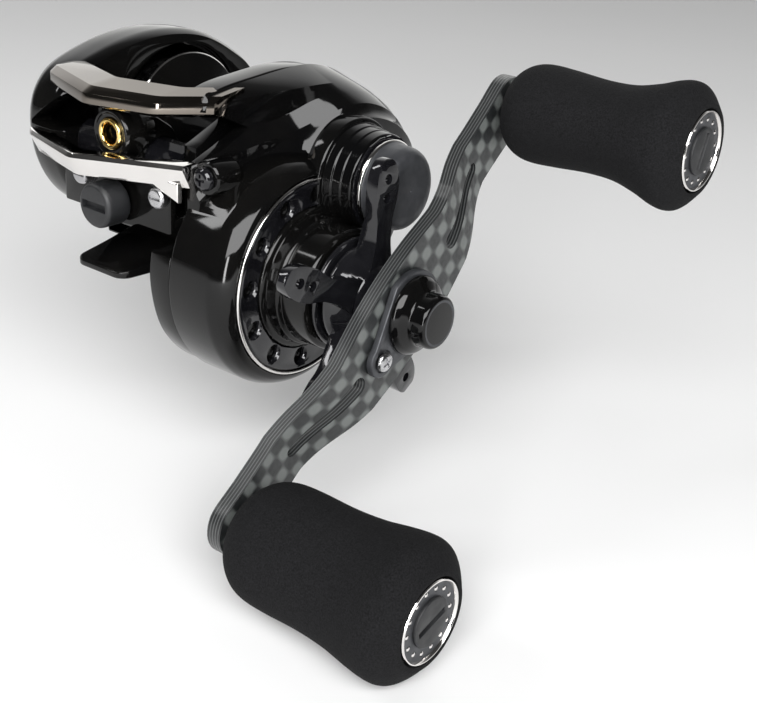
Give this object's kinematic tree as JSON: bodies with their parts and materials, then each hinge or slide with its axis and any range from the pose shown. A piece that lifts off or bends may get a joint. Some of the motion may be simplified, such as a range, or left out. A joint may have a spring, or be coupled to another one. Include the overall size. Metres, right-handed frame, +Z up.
{
  "type": "bait-casting fishing reel",
  "caption": "Low-profile bait-casting fishing reel with a double-knob crank, star drag, level-wind line guide and thumb bar, clamped to a rod by its foot.",
  "frame": {"origin": "middle of the flat underside of the reel foot, where it sits on the rod", "axes": "+X along the spool and drive axes towards the handle, -Y towards the rod tip, where the line leaves, +Z up, away from the rod"},
  "size_m": [0.1211, 0.0972, 0.0844],
  "materials": {
    "black_chrome": "black chrome plate, mirror gloss",
    "bright_chrome": "polished",
    "gold_ring": "polished gold-coloured ring",
    "black_anodised": "black anodised, satin gloss",
    "grey_anodised": "dark grey anodised, satin",
    "steel": "machined",
    "brass": "machined",
    "polymer": "moulded black polymer",
    "drag_carbon": "woven carbon friction washer",
    "carbon_laminate": "woven carbon laminate, clear coated",
    "foam": "matte closed-cell EVA foam"
  },
  "bodies": {
    "frame": {"frame": "black_chrome", "gear_side_plate": "black_chrome", "drive_cover": "black_anodised", "cover_trim_ring": "bright_chrome", "front_cowl": "black_chrome", "lower_front_bar": "bright_chrome", "worm_tube": "black_anodised", "guide_rod": "steel", "spool_bearing_gear": "steel", "anti_reverse_bearing": "steel", "drive_shaft_bushing": "brass", "detent_ring": "black_anodised", "side_plate_screw_rear": "steel", "side_plate_screw_top": "steel", "lower_bar_screw": "black_anodised", "front_screw_palm": "bright_chrome", "front_screw_gear": "bright_chrome", "yoke_spring_upper": "steel", "yoke_spring_lower": "steel"},
    "palm_plate": {"palm_side_plate": "black_chrome", "brake_magnet_ring": "steel", "spool_bearing_palm": "steel"},
    "brake_dial": {"brake_dial": "black_anodised"},
    "crank": {"drive_shaft": "steel", "drive_gear": "brass", "drag_washer_inner": "drag_carbon", "drag_washer_outer": "drag_carbon", "drag_pressure_plate": "steel", "level_wind_drive_gear": "polymer", "roller_sleeve": "steel", "handle_arm": "carbon_laminate", "handle_nut": "steel", "retainer_plate": "grey_anodised", "retainer_screw": "steel", "nut_cap": "black_anodised", "knob_post_upper": "steel", "knob_post_lower": "steel"},
    "star": {"drag_star": "black_anodised", "star_nut": "brass", "star_click_ring": "black_anodised"},
    "knob_upper": {"knob_core_upper": "polymer", "knob_grip_upper": "foam", "knob_cap_upper": "grey_anodised"},
    "knob_lower": {"knob_core_lower": "polymer", "knob_grip_lower": "foam", "knob_cap_lower": "grey_anodised"},
    "thumb": {"thumb_bar": "black_anodised", "clutch_plate": "steel"},
    "yoke": {"yoke": "polymer"},
    "pinion": {"pinion": "brass"},
    "spool": {"spool": "black_chrome", "spool_shaft": "steel", "spool_pin": "steel"},
    "worm": {"worm_shaft": "steel", "worm_gear": "polymer"},
    "line_guide": {"line_guide": "polymer", "line_guide_ring": "gold_ring", "pawl": "brass"},
    "tension_cap": {"tension_cap": "black_anodised"},
    "release_knob": {"release_knob": "grey_anodised"}
  },
  "joints": [
    {"name": "handle_turn", "type": "hinge", "parent": "frame", "child": "crank", "pos_m": [0.045, -0.0087, 0.0017], "axis": [1, 0, 0], "continuous": true},
    {"name": "upper_knob_spin", "type": "hinge", "parent": "crank", "child": "knob_upper", "pos_m": [0.07, 0.02779, 0.03211], "axis": [1, 0, 0], "continuous": true},
    {"name": "lower_knob_spin", "type": "hinge", "parent": "crank", "child": "knob_lower", "pos_m": [0.07, -0.04519, -0.02871], "axis": [1, 0, 0], "continuous": true},
    {"name": "drag_star_turn", "type": "hinge", "parent": "crank", "child": "star", "pos_m": [0.047, -0.0087, 0.0017], "axis": [1, 0, 0], "range_deg": [-360, 360]},
    {"name": "spool_turn", "type": "hinge", "parent": "frame", "child": "spool", "pos_m": [0, 0.0042, 0.0189], "axis": [1, 0, 0], "continuous": true},
    {"name": "thumb_press", "type": "slide", "parent": "frame", "child": "thumb", "axis": [0, 0, -1], "range_m": [0, 0.003]},
    {"name": "yoke_lift", "type": "slide", "parent": "frame", "child": "yoke", "axis": [1, 0, 0], "range_m": [0, 0.0016], "deforming": ["yoke_spring_upper", "yoke_spring_lower"]},
    {"name": "pinion_turn", "type": "hinge", "parent": "yoke", "child": "pinion", "pos_m": [0.023, 0.0042, 0.0189], "axis": [1, 0, 0], "continuous": true},
    {"name": "worm_turn", "type": "hinge", "parent": "frame", "child": "worm", "pos_m": [0, -0.0194, 0.0205], "axis": [1, 0, 0], "continuous": true},
    {"name": "line_guide_travel", "type": "slide", "parent": "frame", "child": "line_guide", "axis": [1, 0, 0], "range_m": [-0.0095, 0.0068]},
    {"name": "tension_cap_turn", "type": "hinge", "parent": "frame", "child": "tension_cap", "pos_m": [0.042, 0.0042, 0.0189], "axis": [1, 0, 0], "range_deg": [-360, 360]},
    {"name": "release_knob_turn", "type": "hinge", "parent": "frame", "child": "release_knob", "pos_m": [-0.0003, -0.03, 0.013], "axis": [0, 1, 0], "range_deg": [0, 90]},
    {"name": "palm_plate_pull", "type": "slide", "parent": "frame", "child": "palm_plate", "axis": [-1, 0, 0], "range_m": [0, 0.03]},
    {"name": "brake_dial_turn", "type": "hinge", "parent": "palm_plate", "child": "brake_dial", "pos_m": [-0.029, 0.0042, 0.0189], "axis": [1, 0, 0], "range_deg": [-150, 150]}
  ],
  "couplings": [
    {"joint": "spool_turn", "follows": "handle_turn", "ratio": -7.1},
    {"joint": "pinion_turn", "follows": "handle_turn", "ratio": -7.1},
    {"joint": "worm_turn", "follows": "handle_turn", "ratio": -5},
    {"joint": "yoke_lift", "follows": "thumb_press", "ratio": 0.5332}
  ]
}
